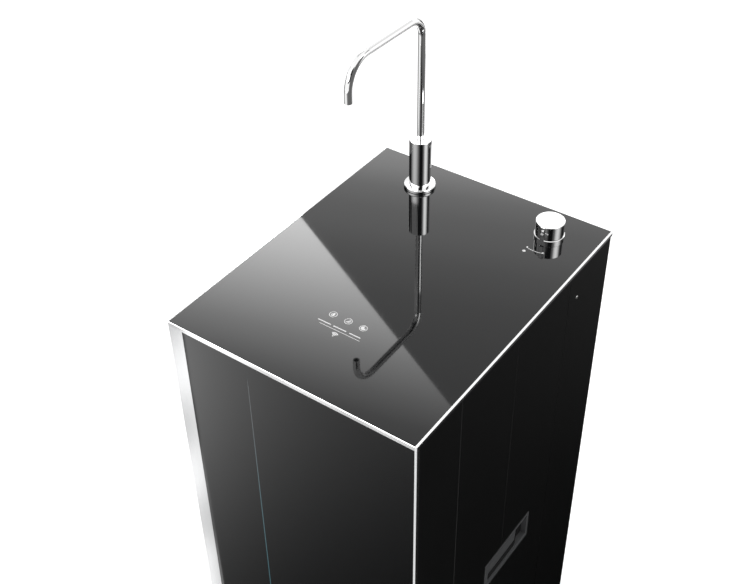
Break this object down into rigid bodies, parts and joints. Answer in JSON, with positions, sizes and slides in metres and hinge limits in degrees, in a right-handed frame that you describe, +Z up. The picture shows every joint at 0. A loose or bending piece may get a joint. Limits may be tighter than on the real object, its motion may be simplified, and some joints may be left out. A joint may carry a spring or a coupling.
{
  "type": "reverse osmosis water purifier",
  "caption": "Tall cabinet water purifier with black glass top and front, bright metal edges, a chrome swivel faucet, a control knob and sliding side panels over its filters.",
  "frame": {"origin": "on the floor under the middle of the cabinet", "axes": "+X to the right seen from the front, +Y to the back, +Z up"},
  "size_m": [0.36, 0.462, 1.1635],
  "materials": {
    "rubber": "matt moulded rubber",
    "steel_sheet": "folded galvanised steel sheet",
    "brushed_aluminium": "brushed and anodised extrusion",
    "bright_aluminium": "polished bevelled extrusion",
    "black_glass": "tempered glass, printed black behind",
    "light_acrylic": "clear light-guide acrylic",
    "board_green": "printed circuit board",
    "black_plastic": "moulded plastic, fine texture",
    "white_plastic": "moulded polypropylene",
    "panel_paint": "satin black powder coat",
    "cup_grey": "moulded dark grey plastic",
    "chrome": "polished chrome plate",
    "nickelled_brass": "turned brass, nickelled",
    "motor_paint": "painted steel can",
    "tank_paint": "enamelled steel",
    "lever_blue": "moulded plastic",
    "tube_white": "polyethylene tube",
    "tube_blue": "polyethylene tube",
    "tube_red": "polyethylene tube"
  },
  "bodies": {
    "cabinet": {"rubber_feet": "rubber", "base_pan": "steel_sheet", "front_left_post": "brushed_aluminium", "front_right_post": "brushed_aluminium", "rear_posts": "steel_sheet", "bottom_trim": "brushed_aluminium", "top_frame": "bright_aluminium", "top_glass": "black_glass", "front_glass": "black_glass", "light_guide": "light_acrylic", "light_board": "board_green", "panel_rails": "bright_aluminium", "back_panel": "steel_sheet", "lower_back_panel": "steel_sheet", "connection_tray": "black_plastic", "tube_fittings": "white_plastic", "power_inlet": "black_plastic", "faucet_gasket": "rubber", "faucet_flange": "chrome", "faucet_body": "chrome", "faucet_shank": "nickelled_brass", "faucet_nut": "nickelled_brass", "knob_collar": "chrome", "valve_body": "white_plastic", "valve_nut": "nickelled_brass", "touch_board": "board_green", "shelf": "steel_sheet", "filter_bracket": "steel_sheet", "filter_heads": "white_plastic", "membrane_bracket": "steel_sheet", "membrane_housing": "white_plastic", "membrane_cap": "white_plastic", "post_filter": "white_plastic", "tank_tee": "white_plastic", "solenoid_body": "white_plastic", "solenoid_coil": "black_plastic", "pump_saddle": "steel_sheet", "pump_motor": "motor_paint", "pump_head": "black_plastic", "storage_tank": "tank_paint", "tank_stand": "black_plastic", "tank_valve": "white_plastic", "power_adapter": "black_plastic", "control_box": "white_plastic", "feed_tubes": "tube_white", "pure_tubes": "tube_blue", "drain_tube": "tube_red"},
    "right_panel": {"right_side_panel": "panel_paint", "right_finger_cup": "cup_grey"},
    "left_panel": {"left_side_panel": "panel_paint", "left_finger_cup": "cup_grey"},
    "spout": {"spout": "chrome"},
    "knob": {"knob": "chrome", "valve_stem": "nickelled_brass"},
    "sediment_cartridge": {"cartridge_sediment": "white_plastic"},
    "carbon_cartridge": {"cartridge_carbon": "white_plastic"},
    "block_cartridge": {"cartridge_block": "white_plastic"},
    "tank_lever": {"tank_lever": "lever_blue"}
  },
  "joints": [
    {"name": "right_panel_slide", "type": "slide", "parent": "cabinet", "child": "right_panel", "axis": [0, 1, 0], "range_m": [0, 0.42]},
    {"name": "left_panel_slide", "type": "slide", "parent": "cabinet", "child": "left_panel", "axis": [0, 1, 0], "range_m": [0, 0.42]},
    {"name": "spout_swivel", "type": "hinge", "parent": "cabinet", "child": "spout", "pos_m": [-0.086, 0.176, 0.93], "axis": [0, 0, 1], "continuous": true},
    {"name": "knob_turn", "type": "hinge", "parent": "cabinet", "child": "knob", "pos_m": [0.1155, 0.176, 0.9], "axis": [0, 0, 1], "range_deg": [-90, 90]},
    {"name": "sediment_cartridge_twist", "type": "hinge", "parent": "cabinet", "child": "sediment_cartridge", "pos_m": [0.1, 0.08, 0.76], "axis": [0, 0, 1], "range_deg": [0, 90]},
    {"name": "carbon_cartridge_twist", "type": "hinge", "parent": "cabinet", "child": "carbon_cartridge", "pos_m": [0.1, -0.03, 0.76], "axis": [0, 0, 1], "range_deg": [0, 90]},
    {"name": "block_cartridge_twist", "type": "hinge", "parent": "cabinet", "child": "block_cartridge", "pos_m": [0.1, -0.14, 0.76], "axis": [0, 0, 1], "range_deg": [0, 90]},
    {"name": "tank_lever_turn", "type": "hinge", "parent": "cabinet", "child": "tank_lever", "pos_m": [0, 0.025, 0.424], "axis": [1, 0, 0], "range_deg": [0, 90]}
  ]
}
